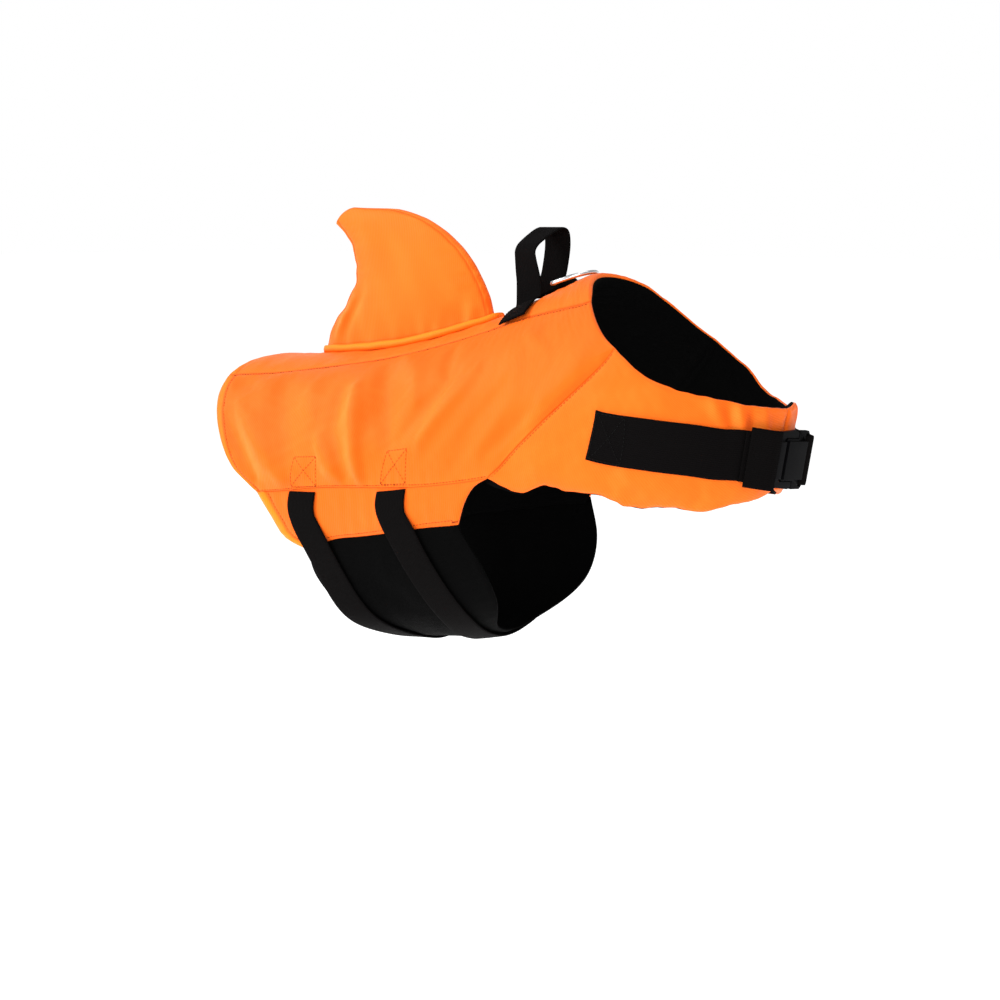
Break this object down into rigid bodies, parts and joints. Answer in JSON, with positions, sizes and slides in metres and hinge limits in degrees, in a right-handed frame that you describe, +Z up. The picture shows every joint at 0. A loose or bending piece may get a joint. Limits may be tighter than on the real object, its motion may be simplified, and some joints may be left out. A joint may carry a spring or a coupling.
{
  "type": "dog life jacket",
  "caption": "Orange padded dog life jacket in its worn, hollow form, with a fin on the back, a grab handle, a leash ring, a dark belly panel and buckled webbing straps.",
  "frame": {"origin": "on the lining at the withers, where the worn jacket hangs on the back", "axes": "+X towards the head, +Y towards the wearer's left, +Z up"},
  "size_m": [0.5178, 0.2058, 0.3584],
  "materials": {
    "orange_cloth": "satin woven nylon over foam",
    "bright_orange_cloth": "satin woven nylon",
    "black_cloth": "matt polyester",
    "black_webbing": "woven webbing",
    "black_plastic": "moulded, slightly glossy",
    "ring_steel": "plated steel wire"
  },
  "bodies": {
    "jacket": {"top_panel": "orange_cloth", "side_panel_right": "orange_cloth", "side_panel_left": "orange_cloth", "lower_band_right": "bright_orange_cloth", "lower_band_left": "bright_orange_cloth", "front_panel_right": "orange_cloth", "front_panel_left": "orange_cloth", "belly_panel": "black_cloth", "lining_body": "black_cloth", "lining_front_right": "black_cloth", "lining_front_left": "black_cloth", "fin_base": "bright_orange_cloth", "fin_right": "orange_cloth", "fin_left": "orange_cloth", "handle": "black_webbing", "ring_tab": "black_webbing", "belly_strap_rear": "black_webbing", "belly_strap_front": "black_webbing", "belly_stub_rear": "black_webbing", "belly_stub_front": "black_webbing", "belly_buckle_rear_plug": "black_plastic", "belly_buckle_rear_socket": "black_plastic", "belly_buckle_front_plug": "black_plastic", "belly_buckle_front_socket": "black_plastic", "chest_strap_right": "black_webbing", "chest_strap_left": "black_webbing", "chest_tab": "black_webbing", "chest_buckle_plug": "black_plastic", "chest_buckle_socket": "black_plastic"},
    "ring": {"d_ring": "ring_steel"}
  },
  "joints": [
    {"name": "ring_swing", "type": "hinge", "parent": "jacket", "child": "ring", "pos_m": [0.01236, 0, 0.02141], "axis": [0, -1, 0], "range_deg": [0, 75]}
  ]
}
